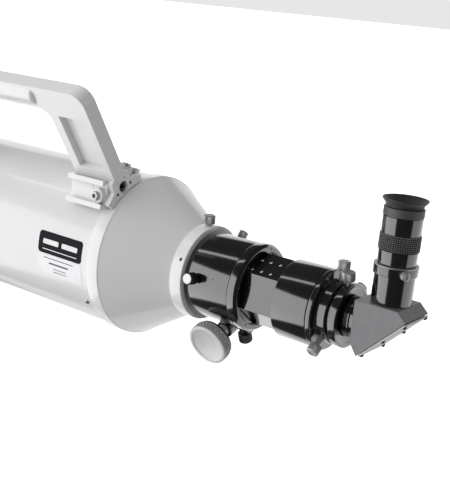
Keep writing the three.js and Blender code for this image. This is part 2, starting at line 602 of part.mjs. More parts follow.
makeBar();
Object.entries(ring.stations).forEach(([place, station]) => makeRing(place, station));
makeTube();
makeObjective();
makeCone();
makeRotatorRing();
makeSaddles();
makeHandle();
makeShoes();
makeFocuserBody();
makePinionHousing();
makePressScrews();
makeFocusShaft();
makeDrawtube();
makeAdapter();
makeDiagonal();
makeEyepiece();

export default telescope;
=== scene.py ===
import math

import bmesh
import bpy
from mathutils import Matrix, Vector


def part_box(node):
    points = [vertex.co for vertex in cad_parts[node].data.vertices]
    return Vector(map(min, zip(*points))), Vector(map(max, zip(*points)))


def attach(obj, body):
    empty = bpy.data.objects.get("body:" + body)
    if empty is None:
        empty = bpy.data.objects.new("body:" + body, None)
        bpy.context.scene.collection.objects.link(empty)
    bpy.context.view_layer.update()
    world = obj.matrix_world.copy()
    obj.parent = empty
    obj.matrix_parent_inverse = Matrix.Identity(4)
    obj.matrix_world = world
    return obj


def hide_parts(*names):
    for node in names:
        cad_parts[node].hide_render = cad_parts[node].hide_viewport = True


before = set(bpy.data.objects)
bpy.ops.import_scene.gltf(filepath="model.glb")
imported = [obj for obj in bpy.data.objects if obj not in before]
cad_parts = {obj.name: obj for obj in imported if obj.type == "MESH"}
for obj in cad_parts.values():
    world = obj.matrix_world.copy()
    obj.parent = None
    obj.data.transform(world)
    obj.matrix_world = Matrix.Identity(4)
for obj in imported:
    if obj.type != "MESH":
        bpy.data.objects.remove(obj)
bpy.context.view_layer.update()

scene = bpy.context.scene

# ---- places ----
# BAND_X and AXIS_Z, in metres, are where the rear edge of the cone's band meets the optical axis. The others
# count from there in millimetres, and in degrees about the axis, from the top down the left side.
MM = 0.001
BAND_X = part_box("rear_cone")[1].x - 66.7 * MM
AXIS_Z = sum(corner.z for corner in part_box("eyepiece_adapter")) / 2
EYE_X = 295.5
TUBE_TURN = 33.0
FOCUSER_TURN = 22.75
RING_STATIONS = {"front": -665, "rear": -425}
HINGE_Y, CLAMP_Y = 104.6, -107
BOLT_UP = 99
SHOE_SCREW_X = -19
PRESS_X, PRESS_TURN = 97, 60
PINION_X, PINION_UP = 115.5, -43
GEAR_MODULE, GEAR_TEETH, GEAR_PRESSURE, BACKLASH = 1.2, 12, math.radians(20), 0.125
FLAT_UP = 32.5
ACCESSORY_SCREW_X = 241
ADAPTER_SCREW_X, ADAPTER_SCREW_TURN = 252.6, 12
HOLDER_SCREW_UP = 57.6


def turned(degrees, axis="X"):
    return Matrix.Rotation(math.radians(degrees), 4, axis)


def moved(x=0.0, y=0.0, z=0.0):
    return Matrix.Translation((x, y, z))


AXIS = Matrix.Translation((BAND_X, 0, AXIS_Z)) @ Matrix.Scale(MM, 4)
TUBE = AXIS @ turned(TUBE_TURN)
FOCUSER = AXIS @ turned(FOCUSER_TURN)
EYE = AXIS @ moved(EYE_X)

# ---- materials ----
NOISE_SPAN = (0.3, 0.7)


def material(name, color, roughness, metallic=0.0, coat=0.0, coat_roughness=0.03, ior=1.5,
             mottle=0.06, mottle_scale=60.0, grain=0.05, grain_scale=900.0, bump=0.05, sheen=0.0):
    """A principled material whose colour, roughness and bump vary with noise over the object's own space."""
    made = bpy.data.materials.new(name)
    made.use_nodes = True
    nodes, links = made.node_tree.nodes, made.node_tree.links
    shader = nodes["Principled BSDF"]
    shader.inputs["Metallic"].default_value = metallic
    shader.inputs["IOR"].default_value = ior
    shader.inputs["Coat Weight"].default_value = coat
    shader.inputs["Coat Roughness"].default_value = coat_roughness
    shader.inputs["Sheen Weight"].default_value = sheen
    where = nodes.new("ShaderNodeTexCoord")

    def noise(scale, detail):
        node = nodes.new("ShaderNodeTexNoise")
        node.inputs["Scale"].default_value = scale
        node.inputs["Detail"].default_value = detail
        links.new(where.outputs["Object"], node.inputs["Vector"])
        return node

    cloud = noise(mottle_scale, 3.0)
    ramp = nodes.new("ShaderNodeValToRGB")
    for stop, place, share in zip(ramp.color_ramp.elements, NOISE_SPAN, (1 - mottle, 1 + mottle)):
        stop.position = place
        stop.color = (*(min(1.0, c * share) for c in color), 1)
    links.new(cloud.outputs["Fac"], ramp.inputs["Fac"])
    links.new(ramp.outputs["Color"], shader.inputs["Base Color"])

    fine = noise(grain_scale, 4.0)
    rough = nodes.new("ShaderNodeMapRange")
    rough.inputs["From Min"].default_value = NOISE_SPAN[0]
    rough.inputs["From Max"].default_value = NOISE_SPAN[1]
    rough.inputs["To Min"].default_value = max(0.0, roughness - grain)
    rough.inputs["To Max"].default_value = roughness + grain
    links.new(fine.outputs["Fac"], rough.inputs["Value"])
    links.new(rough.outputs["Result"], shader.inputs["Roughness"])
    if bump:
        dents = nodes.new("ShaderNodeBump")
        dents.inputs["Strength"].default_value = bump
        dents.inputs["Distance"].default_value = 0.0002
        links.new(fine.outputs["Fac"], dents.inputs["Height"])
        links.new(dents.outputs["Normal"], shader.inputs["Normal"])
    return made


def glass(name, tint):
    made = material(name, tint, 0.02, grain=0.01, bump=0, mottle=0.02)
    shader = made.node_tree.nodes["Principled BSDF"]
    shader.inputs["Transmission Weight"].default_value = 1.0
    shader.inputs["Coat Weight"].default_value = 0.4
    shader.inputs["Coat Tint"].default_value = (0.55, 0.9, 0.75, 1)
    return made


WHITE = material("white_powder_coat", (0.74, 0.735, 0.745), 0.34, coat=0.7, coat_roughness=0.08,
                 mottle=0.012, mottle_scale=25, grain=0.03, grain_scale=1400, bump=0.04)
BLACK = material("gloss_black_lacquer", (0.006, 0.006, 0.007), 0.14, coat=1.0, coat_roughness=0.02, ior=1.8,
                 mottle=0.2, grain=0.03, grain_scale=500, bump=0.015)
SATIN = material("satin_black_anodised", (0.012, 0.012, 0.013), 0.38, ior=1.7, mottle=0.15, grain=0.06,
                 grain_scale=1500, bump=0.06)
INSIDE = material("matte_black_lining", (0.008, 0.008, 0.008), 0.85, mottle=0.3, grain_scale=2500, bump=0.3)
PLASTIC = material("black_moulded_plastic", (0.012, 0.012, 0.013), 0.33, mottle=0.15, grain_scale=1800,
                   bump=0.12)
CHROME = material("satin_chrome", (0.46, 0.455, 0.46), 0.42, metallic=0.8, mottle=0.05, mottle_scale=200,
                  grain=0.05, grain_scale=900, bump=0.03)
TURNED = material("turned_aluminium", (0.60, 0.595, 0.60), 0.5, metallic=0.3, mottle=0.04, mottle_scale=150,
                  grain=0.06, grain_scale=1600, bump=0.06)
PLATE = material("plain_aluminium", (0.42, 0.415, 0.42), 0.5, metallic=0.5, mottle=0.05, mottle_scale=80,
                 grain=0.08, grain_scale=1200, bump=0.05)
STEEL = material("bright_steel", (0.50, 0.50, 0.51), 0.30, metallic=1.0, mottle=0.08, grain=0.06,
                 grain_scale=1200, bump=0.05)
DARK_STEEL = material("blackened_steel", (0.05, 0.05, 0.052), 0.35, metallic=0.8, mottle=0.2, grain=0.08,
                      grain_scale=1500, bump=0.08)
GREY = material("grey_anodised", (0.155, 0.152, 0.158), 0.42, metallic=0.35, mottle=0.06, mottle_scale=120,
                grain=0.06, grain_scale=2200, bump=0.08)
# Painted shade: the dark colour for the bottoms of the focus knobs' knurl grooves.
KNURL_SHADE = material("knurl_groove_painted_shade", (0.05, 0.05, 0.051), 0.55, metallic=0.4, mottle=0.1, mottle_scale=200)
GRIP = material("moulded_grip", (0.10, 0.098, 0.10), 0.42, ior=1.6, mottle=0.2, mottle_scale=300, grain=0.08,
                grain_scale=1600, bump=0.1)
DARK_GREY = material("dark_grey_ring", (0.07, 0.069, 0.07), 0.5, metallic=0.2, mottle=0.08, grain=0.06,
                     grain_scale=2000, bump=0.06)
RUBBER = material("moulded_rubber", (0.013, 0.0125, 0.013), 0.62, mottle=0.25, mottle_scale=90, grain=0.08,
                  grain_scale=1600, bump=0.2, sheen=0.25)
FELT = material("grey_felt", (0.05, 0.05, 0.052), 0.95, mottle=0.35, mottle_scale=900, grain_scale=3500,
                bump=0.6, sheen=0.6)
MARKS = material("white_engraving", (0.78, 0.78, 0.78), 0.5, mottle=0.05, bump=0.0)
WHITE_CAP = material("white_plastic_cap", (0.86, 0.86, 0.86), 0.4, mottle=0.02, bump=0.02)
LABEL_BLACK = material("label_black", (0.008, 0.008, 0.014), 0.6, ior=1.2, mottle=0.1, grain=0.03, bump=0.02)
LABEL_SILVER = material("label_silver", (0.66, 0.655, 0.68), 0.32, metallic=0.25, mottle=0.03, grain=0.04,
                        bump=0.03)
LABEL_INK = material("label_ink", (0.03, 0.03, 0.05), 0.4, mottle=0.1, bump=0.0)
MIRROR = material("aluminised_mirror", (0.93, 0.93, 0.93), 0.02, metallic=1.0, mottle=0.01, grain=0.005,
                  bump=0)
GLASS = glass("coated_glass", (0.93, 0.98, 0.96))

# ---- meshes, each a bmesh in millimetres ----


def soften(points, size, steps, closed):
    """Replaces each corner of a profile by a small round."""
    out = []
    last = len(points) - 1
    for i, point in enumerate(points):
        here = Vector(point)
        if not closed and i in (0, last):
            out.append(here)
            continue
        before, after = Vector(points[i - 1]) - here, Vector(points[(i + 1) % len(points)]) - here
        if before.length < 1e-6 or after.length < 1e-6 or before.angle(after) > math.radians(168):
            out.append(here)
            continue
        reach = min(size, before.length * 0.4, after.length * 0.4)
        start, end = here + before.normalized() * reach, here + after.normalized() * reach
        for k in range(steps + 1):
            t = k / steps
            out.append(start * (1 - t) ** 2 + here * 2 * t * (1 - t) + end * t * t)
    return out


def outward(bm):
    """Turns the faces of a closed mesh to face out."""
    bmesh.ops.recalc_face_normals(bm, faces=bm.faces)
    if bm.calc_volume(signed=True) < 0:
        bmesh.ops.reverse_faces(bm, faces=bm.faces)
    return bm


def lathe(points, sides=96, axis="X", soft=0.5, steps=3, relief=None):
    """Turns (station, radius) points about an axis. relief(station, radius, turn) is added to the radius."""
    closed = points[0][1] > 0
    bm = bmesh.new()
    rings = []
    for station, r in soften(points, soft, steps, closed):
        if r < 1e-6:
            rings.append([bm.verts.new((0, 0, station))])
            continue
        ring = []
        for i in range(sides):
            share = i / sides
            grown = r + (relief(station, r, share) if relief else 0.0)
            angle = 2 * math.pi * share
            ring.append(bm.verts.new((grown * math.cos(angle), grown * math.sin(angle), station)))
        rings.append(ring)
    pairs = list(zip(rings, rings[1:]))
    if closed:
        pairs.append((rings[-1], rings[0]))
    for a, b in pairs:
        for i in range(max(len(a), len(b))):
            j = i + 1
            corners = [a[i % len(a)], a[j % len(a)], b[j % len(b)], b[i % len(b)]]
            corners = list(dict.fromkeys(corners))
            if len(corners) > 2:
                bm.faces.new(corners)
    outward(bm)
    spin = {"X": turned(90, "Y"), "Y": turned(-90, "X"), "Z": Matrix.Identity(4)}[axis]
    bm.transform(spin)
    return bm


def wall(front, rear, outer, inner):
    return [(front, inner), (front, outer), (rear, outer), (rear, inner)]


def rod(start, end, r):
    return [(start, 0), (start, r), (end, r), (end, 0)]


def wave(x):
    """A triangle wave: 0 at whole numbers, 1 halfway between."""
    return 1 - abs(2 * (x % 1.0) - 1)


def straight_knurl(teeth, depth, radius):
    return lambda s, r, t: -depth * (1 - wave(teeth * t)) if r > radius else 0.0


def crossed_knurl(teeth, depth, radius, pitch, square=False):
    def relief(s, r, t):
        if r <= radius:
            return 0.0
        u, v = teeth * t, s / pitch
        if not square:
            u, v = u + v, u - v
            return -depth * (1 - min(wave(u), wave(v)))
        return -depth * (1 - min(1.0, 1.9 * min(wave(u), wave(v))))
    return relief


def rows(start, end, r, count):
    return [(start + (end - start) * i / count, r) for i in range(count + 1)]


def prism(outline, start, end, axis="X"):
    """Carries a closed outline along an axis: (y, z) along X, (x, z) along Y, or (x, y) along Z."""
    bm = bmesh.new()
    place = {
        "X": lambda a, b, s: (s, a, b),
        "Y": lambda a, b, s: (a, s, b),
        "Z": lambda a, b, s: (a, b, s),
    }[axis]
    low = [bm.verts.new(place(a, b, start)) for a, b in outline]
    high = [bm.verts.new(place(a, b, end)) for a, b in outline]
    bm.faces.new(low)
    bm.faces.new(high)
    for i in range(len(outline)):
        j = (i + 1) % len(outline)
        bm.faces.new([low[i], low[j], high[j], high[i]])
    return outward(bm)


def block(x, y, z):
    return prism([(x[0], y[0]), (x[1], y[0]), (x[1], y[1]), (x[0], y[1])], z[0], z[1], "Z")


def arc(r, start, end, steps):
    angles = [math.radians(start + (end - start) * i / steps) for i in range(steps + 1)]
    return [(r * math.cos(a), r * math.sin(a)) for a in angles]


def hexagon(across, start=0.0):
    return arc(across / math.sqrt(3), start, start + 360, 6)[:6]


def at(bm, matrix):
    bm.transform(matrix)
    return bm


def combined(operation, base, tools):
    """One bmesh from a base and its tools, which are used up."""
    made = []
    for bm in [base, *tools]:
        mesh = bpy.data.meshes.new("tool")
        bm.to_mesh(mesh)
        bm.free()
        thing = bpy.data.objects.new("tool", mesh)
        scene.collection.objects.link(thing)
        made.append(thing)
    for tool in made[1:]:
        modifier = made[0].modifiers.new("cut", "BOOLEAN")
        modifier.operation = operation
        modifier.solver = "MANIFOLD"
        modifier.object = tool
    bpy.context.view_layer.update()
    graph = bpy.context.evaluated_depsgraph_get()
    result = bmesh.new()
    result.from_mesh(made[0].evaluated_get(graph).to_mesh())
    for thing in made:
        mesh = thing.data
        bpy.data.objects.remove(thing)
        bpy.data.meshes.remove(mesh)
    bmesh.ops.remove_doubles(result, verts=result.verts, dist=1e-4)
    return result


def cut(base, *tools):
    return combined("DIFFERENCE", base, tools)


def join(base, *others):
    return combined("UNION", base, others)


def merged(*parts):
    """Several closed bodies in one bmesh, with nothing joined."""
    result = bmesh.new()
    for bm in parts:
        mesh = bpy.data.meshes.new("part")
        bm.to_mesh(mesh)
        bm.free()
        result.from_mesh(mesh)
        bpy.data.meshes.remove(mesh)
    return result


def drill(start, end, r, place, axis="X", sides=32):
    """A plain rod along an axis, put in its place, to cut a hole with."""
    return at(lathe(rod(start, end, r), sides, axis, soft=0), place)


def radial(x, turn, start, end, r):
    """A rod out of the X axis, turned left side down from the top."""
    return drill(start, end, r, moved(x) @ turned(turn), "Z")


def piece(name, bm, place, body, looks, nodes=(), bevel=0.0, region=None, smooth=38, edge_look=None):
    """Makes a piece that rides on a body from a bmesh in millimetres.

    region(centre) gives the number of a face's material, and edge_look is the bevelled edges' own material.
    """
    if region:
        for face in bm.faces:
            face.material_index = region(face.calc_center_median())
    bm.transform(place)
    mesh = bpy.data.meshes.new(name)
    bm.to_mesh(mesh)
    bm.free()
    for look in looks if isinstance(looks, (list, tuple)) else [looks]:
        mesh.materials.append(look)
    mesh.shade_smooth()
    mesh.set_sharp_from_angle(angle=math.radians(smooth))
    made = bpy.data.objects.new(name, mesh)
    scene.collection.objects.link(made)
    if bevel:
        modifier = made.modifiers.new("edges", "BEVEL")
        modifier.width = bevel * MM
        modifier.segments = 3
        modifier.limit_method = "ANGLE"
        modifier.angle_limit = math.radians(32)
        if edge_look is not None:
            mesh.materials.append(edge_look)
            modifier.material = len(mesh.materials) - 1
        normals = made.modifiers.new("normals", "WEIGHTED_NORMAL")
        normals.keep_sharp = True
    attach(made, body)
    if nodes:
        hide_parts(*nodes)
    return made


def inner(r, axis="X"):
    """Faces nearer the axis than r take the second material."""
    if axis == "X":
        return lambda c: int(math.hypot(c.y, c.z) < r)
    return lambda c: int(math.hypot(c.x, c.y) < r)


def socket_screw(head, height, depth, across):
    """A round head on Z with its top at 0 and a hexagon socket in it."""
    body = lathe([(-height, 0), (-height, head), (-0.5, head), (0, head - 0.5), (0, 0)], 48, "Z", soft=0.25)
    return cut(body, prism(hexagon(across), -depth, 1, "Z"))


def thumbscrew(tip, seat, height, stem, head, teeth=42, depth=0.28):
    """A knurled head on a stem that points out along Z, with a shallow dish in its end."""
    top = seat + height
    outline = [
        (tip, 0), (tip, stem - 0.6), (tip + 0.6, stem), (seat, stem), (seat, head - 1.1), (seat + 0.7, head),
        (top - 0.7, head), (top, head - 1.1), (top, head * 0.62), (top - 0.35, head * 0.56), (top - 0.35, 0),
    ]
    return lathe(outline, teeth * 4, "Z", soft=0.12, steps=1, relief=straight_knurl(teeth, depth, head - 0.3))


# ---- tube, objective, cone and rotator ----
def make_tube():
    piece("main_tube_shell", lathe(wall(-850, -16.4, 87.5, 86), 160), TUBE, "tube", [WHITE, INSIDE],
          ["main_tube"], region=inner(86.8))
    shield = [(-1100, 95), (-1100, 97), (-846, 97), (-846, 95)]
    piece("dew_shield_shell", lathe(shield, 160, soft=0.9), TUBE, "tube", [WHITE, INSIDE],
          ["dew_shield"], region=inner(96))
    for name, x, hole in (("baffle_front", -560, 60), ("baffle_rear", -260, 44)):
        ring = [
            (x, hole), (x - 1.2, hole + 1.5), (x - 1.2, hole + 3), (x, hole + 4), (x, 85.6), (x + 2, 85.6),
            (x + 2, hole),
        ]
        piece(name + "_plate", lathe(ring, 96), TUBE, "tube", INSIDE, [name])
    cell = [
        (-880, 78.4), (-880, 94.6), (-870, 94.6), (-869, 93.6), (-867, 93.6), (-866, 94.6), (-850.4, 94.6),
        (-850.4, 85.6), (-826, 85.6), (-826, 81.6), (-846, 76.5), (-852, 76.5), (-852, 78.4),
    ]
    piece("objective_cell_ring", lathe(cell, 128), TUBE, "tube", SATIN, ["objective_cell"])
    slots = [block((-880, -877), (-80, 80), (-2, 2)), block((-880, -877), (-2, 2), (-80, 80))]
    retaining = cut(lathe(wall(-879, -874, 78.1, 76), 128, soft=0.3), *slots)
    piece("lens_retaining_ring_slotted", retaining, TUBE, "tube", SATIN,
          ["lens_retaining_ring"])
    lens_r, curve_r, steps = 78, 700, 20
    radii = [lens_r * k / steps for k in range(steps + 1)]

    def face(rim, way):
        return [(rim + way * (lens_r ** 2 - r * r) / (2 * curve_r), r) for r in radii]

    crown = face(-871.5, -1) + face(-866.5, 1)[::-1]
    piece("crown_lens_glass", lathe(crown, 96, soft=0.15), TUBE, "tube", GLASS, ["crown_lens"])
    flint = face(-864.6, 1) + [(-852.4, lens_r), (-852.4, 0)]
    piece("flint_lens_glass", lathe(flint, 96, soft=0.15), TUBE, "tube", GLASS, ["flint_lens"])
    piece("lens_spacer_ring", lathe(wall(-866.1, -865, 77.8, 75), 96, soft=0.1), TUBE, "tube", SATIN,
          ["lens_spacer"])


def make_cone():
    cone = [
        (-40, 85.6), (-16, 85.6), (-16, 90), (0, 90), (0.4, 89), (66.7, 49), (66.7, 44.4), (61.7, 44.4),
        (0, 84.5), (-40, 83.1),
    ]

    def inside(centre):
        """1 for the faces that lie under a line between the cone's inner and outer slopes."""
        return int(math.hypot(centre.y, centre.z) < (82 if centre.x < 0 else 85.6 - 0.6 * centre.x))

    piece("rear_cone_shell", lathe(cone, 160, soft=0.7), TUBE, "tube", [WHITE, INSIDE],
          ["rear_cone"], region=inside)
    grub_x, lock_x, lock_turn = 76.6, 74.5, 1
    grub_turns = [turn - TUBE_TURN for turn in (65.7, 185.7, 305.7)]
    holes = [radial(grub_x, turn, 49.8, 55, 1.9) for turn in grub_turns]
    holes.append(radial(lock_x, lock_turn - TUBE_TURN, 40, 60, 3.7))
    ring = cut(lathe(wall(67, 82, 51.2, 44.4), 160, soft=0.8), *holes)
    piece("rotator_ring_band", ring, TUBE, "tube", WHITE, ["rotator_ring"])
    grubs = [at(socket_screw(1.7, 3, 1.2, 1.6), moved(grub_x) @ turned(turn) @ moved(z=50.7))
             for turn in grub_turns]
    piece("rotator_set_screws", merged(*grubs), TUBE, "tube", DARK_STEEL)
    screws = []
    long, short, deep = (-2.2, 2.2), (-0.45, 0.45), (0.9, 3)
    for turn in (90, 180, -90):
        head = lathe([(0, 0), (0, 3.4), (0.7, 3.3), (1.4, 2.4), (1.7, 0)], 40, "Z", soft=0.3)
        slot = merged(block(long, short, deep), block(short, long, deep))
        screws.append(at(cut(head, slot), moved(-27) @ turned(turn) @ moved(z=87.3)))
    piece("cone_joint_screws", merged(*screws), TUBE, "tube", STEEL)
    lock = at(thumbscrew(44.8, 53, 9.5, 3.2, 6.4), moved(lock_x) @ turned(lock_turn))
    piece("rotator_lock_thumbscrew", lock, AXIS, "rotator_screw", CHROME, ["rotator_lock_screw"])


def on_flank(bm, side):
    """Places a shape made on a shoe's floor (x along, y across, z out) on the left (-1) or right (1)."""
    return at(bm, moved(y=side * 17, z=BOLT_UP) @ turned(-side * 52))


def mirrored(points):
    return points + [(-y, z) for y, z in reversed(points)]


def make_saddles():
    outline = mirrored([(10.5, 90.7), (24.5, 87.7), (27.5, 94.5), (14.2, 101), (13.5, 111.5), (10, 113)])
    pads = [on_flank(block((-60, -12), (-15, 15), (-14, -0.4)), side) for side in (-1, 1)]
    rooms = [on_flank(block((-64, -9.6), (-15.4, 15.4), (-0.4, 30)), side) for side in (-1, 1)]
    bolt, small_up, small_sides = moved(z=BOLT_UP), 96.6, (-10.7, 10.7)
    small_seats = [drill(-1.2, 2, 1.7, moved(-3, y, small_up), sides=24) for y in small_sides]
    tools = [
        lathe(rod(-63, -2, 90.4), 160, soft=0), *rooms, *small_seats,
        drill(-45, 1, 4.4, bolt), drill(-12, 1, 6.4, bolt),
    ]
    rear = cut(join(prism(outline, -62, -3), *pads), *tools)
    piece("handle_saddle_rear_casting", rear, TUBE, "tube", WHITE, ["handle_saddle_rear"],
          bevel=0.7)
    front_tools = [
        lathe(rod(-301, -247, 87.9), 160, soft=0),
        drill(-301, -260, 4.4, bolt), drill(-301, -294, 6.4, bolt),
    ]
    front = cut(prism(outline, -300, -248), *front_tools)
    piece("handle_saddle_front_casting", front, TUBE, "tube", WHITE, ["handle_saddle_front"],
          bevel=0.7)
    for word, head, way in (("rear", -6, -1), ("front", -299.5, 1)):
        screw = join(socket_screw(6, 5, 3, 5.4), lathe(rod(-34, -4.5, 4), 32, "Z"))
        facing = turned(-way * 90, "Y")
        piece(f"handle_bolt_{word}_socket", at(screw, moved(head, 0, BOLT_UP) @ facing), TUBE, "tube",
              DARK_STEEL, [f"handle_bolt_{word}"])
    rearward = turned(90, "Y")
    low = [at(socket_screw(1.6, 1, 0.7, 1.5), moved(-3.2, y, small_up) @ rearward) for y in small_sides]
    high = [at(socket_screw(1.2, 1.2, 0.7, 1.2), moved(-2.8, y, 107.5) @ rearward) for y in (-5.8, 5.8)]
    piece("saddle_small_screws", merged(*low, *high), TUBE, "tube", DARK_STEEL)


def make_handle():
    rear, front, top, inside, foot, bend = -2.5, -298, 220, 194, 113.4, 16
    rear_leg, front_leg, web = 58, 48, 1.3
    outline = [(rear, foot)]
    outline += [(rear - bend + x, top - bend + z) for x, z in arc(bend, 0, 90, 10)]
    outline += [(front + bend + x, top - bend + z) for x, z in arc(bend, 90, 180, 10)]
    outline += [(front, foot), (front + front_leg, foot)]
    outline += [(front + front_leg + bend + x, inside - bend + z) for x, z in arc(bend, 180, 90, 8)]
    outline += [(rear - rear_leg - bend + x, inside - bend + z) for x, z in arc(bend, 90, 0, 8)]
    outline += [(rear - rear_leg, foot)]
    pockets = []
    for low, high in ((rear - 46, rear - 8), (front + 8, front + 38)):
        for side in (-1, 1):
            flank = (-20, -web) if side < 0 else (web, 20)
            pockets.append(block((low, high), flank, (foot + 10.8, inside - 6)))
    grip = at(lathe(rod(-236, -74.5, 12.6), 64, soft=3.5, steps=5), moved(z=(top + inside) / 2))
    body = join(cut(prism(outline, -8.3, 8.3, "Y"), *pockets), grip)
    piece("handle_casting", body, TUBE, "tube", WHITE, ["handle"], bevel=0.9)


def make_shoes():
    half, top = 15, 11
    channel = [(-half, 0), (half, 0), (half, top), (half - 5.5, top), (half - 2.6, 3.5), (2.6 - half, 3.5),
               (5.5 - half, top), (-half, top)]
    for word, side in (("left", -1), ("right", 1)):
        screw_place = moved(SHOE_SCREW_X, 2 * side)
        boss = at(lathe(rod(0.5, 9, 8.2), 64, "Z", soft=0.6), screw_place)
        hole = drill(-1, 12, 4, screw_place, "Z")
        pad = block((-61, -30), (-8, 8), (3, 3.8))
        body = on_flank(cut(join(prism(channel, -62, -10), boss, pad), hole), side)
        piece(f"finder_shoe_{word}_casting", body, TUBE, "tube", WHITE,
              [f"finder_shoe_{word}"], bevel=0.6)
        head = at(socket_screw(5, 3.4, 2.4, 4.6), moved(z=13))
        screw = join(head, lathe(rod(0.4, 9.8, 3.5), 32, "Z", soft=0.3))
        piece(f"finder_clamp_screw_{word}_socket", on_flank(at(screw, screw_place), side), TUBE,
              f"finder_screw_{word}", CHROME, [f"finder_clamp_screw_{word}"])


def patch(x, angles, r, thickness, corner, columns=24, lines=16):
    """A thin plate on a cylinder about X, with rounded corners. Angles count up from the left side."""
    bm = bmesh.new()
    layers = []
    height = math.radians(angles[1] - angles[0]) * r
    for radius in (r, r + thickness):
        grid = []
        for row in range(lines + 1):
            share = (1 - math.cos(math.pi * row / lines)) / 2
            edge = corner - min(share, 1 - share) * height
            inset = corner - math.sqrt(max(0.0, corner ** 2 - edge ** 2)) if edge > 0 else 0.0
            angle = math.radians(angles[0] + (angles[1] - angles[0]) * share)
            line = []
            for column in range(columns + 1):
                along = x[0] + inset + (x[1] - x[0] - 2 * inset) * column / columns
                line.append(bm.verts.new((along, -radius * math.cos(angle), radius * math.sin(angle))))
            grid.append(line)
        layers.append(grid)
        for a, b in zip(grid, grid[1:]):
            for k in range(columns):
                bm.faces.new([a[k], a[k + 1], b[k + 1], b[k]])

    def rim(grid):
        ends = [line[-1] for line in grid[1:-1]]
        starts = [line[0] for line in grid[-2:0:-1]]
        return grid[0] + ends + grid[-1][::-1] + starts

    low, high = rim(layers[0]), rim(layers[1])
    for k in range(len(low)):
        j = (k + 1) % len(low)
        bm.faces.new([low[k], low[j], high[j], high[k]])
    return outward(bm)


def make_label():
    """A plate in two tones with plain bars on it. Each patch has its stations, then its turns."""
    length, plate_r, light_r, dark_r, ink = (-93, -26), 87.52, 87.75, 87.7, 0.12
    piece("label_dark_plate", patch(length, (-2, 14), plate_r, 0.25, 4), AXIS, "tube", LABEL_BLACK)
    piece("label_silver_plate", patch(length, (-18.5, -2.4), plate_r, 0.2, 4), AXIS, "tube", LABEL_SILVER)
    light = [
        patch((-86, -62), (5.0, 8.6), light_r, ink, 1.2, 12, 8),
        patch((-57, -33), (5.0, 8.6), light_r, ink, 1.2, 12, 8),
        patch((-86, -33), (0.9, 1.5), light_r, ink, 0.3, 12, 3),
    ]
    piece("label_light_bars", merged(*light), AXIS, "tube", MARKS)
    dark = [
        patch((-84, -38), (-5.4, -4.8), dark_r, ink, 0.3, 12, 3),
        patch((-76, -46), (-9.4, -8.2), dark_r, ink, 0.5, 12, 4),
        patch((-70, -50), (-12.9, -12.4), dark_r, ink, 0.3, 8, 3),
        patch((-70, -50), (-15.2, -14.7), dark_r, ink, 0.3, 8, 3),
    ]
    piece("label_dark_bars", merged(*dark), AXIS, "tube", LABEL_INK)


# ---- tube rings on their dovetail bar ----
def make_bar():
    floor = Matrix.Scale(MM, 4)
    outline = [(-38, 0), (38, 0), (33, 15), (-33, 15)]
    stations = {word: BAND_X / MM + x for word, x in RING_STATIONS.items()}
    holes = []
    for x in stations.values():
        holes.append(drill(-1, 7, 5.6, moved(x), "Z"))
        holes.append(drill(0, 16, 3.4, moved(x), "Z"))
    piece("dovetail_bar_milled", cut(prism(outline, -150, 150), *holes), floor, "base", SATIN,
          ["dovetail_bar"], bevel=1.2)
    for word, x in stations.items():
        bolt = join(socket_screw(5, 6, 3, 4.8), lathe(rod(-16.4, -5.5, 3), 32, "Z", soft=0.3))
        bolt = at(bolt, moved(x, 0, 0.6) @ turned(180, "X"))
        piece(f"ring_bolt_{word}_socket", bolt, floor, "base", DARK_STEEL, [f"ring_bolt_{word}"])


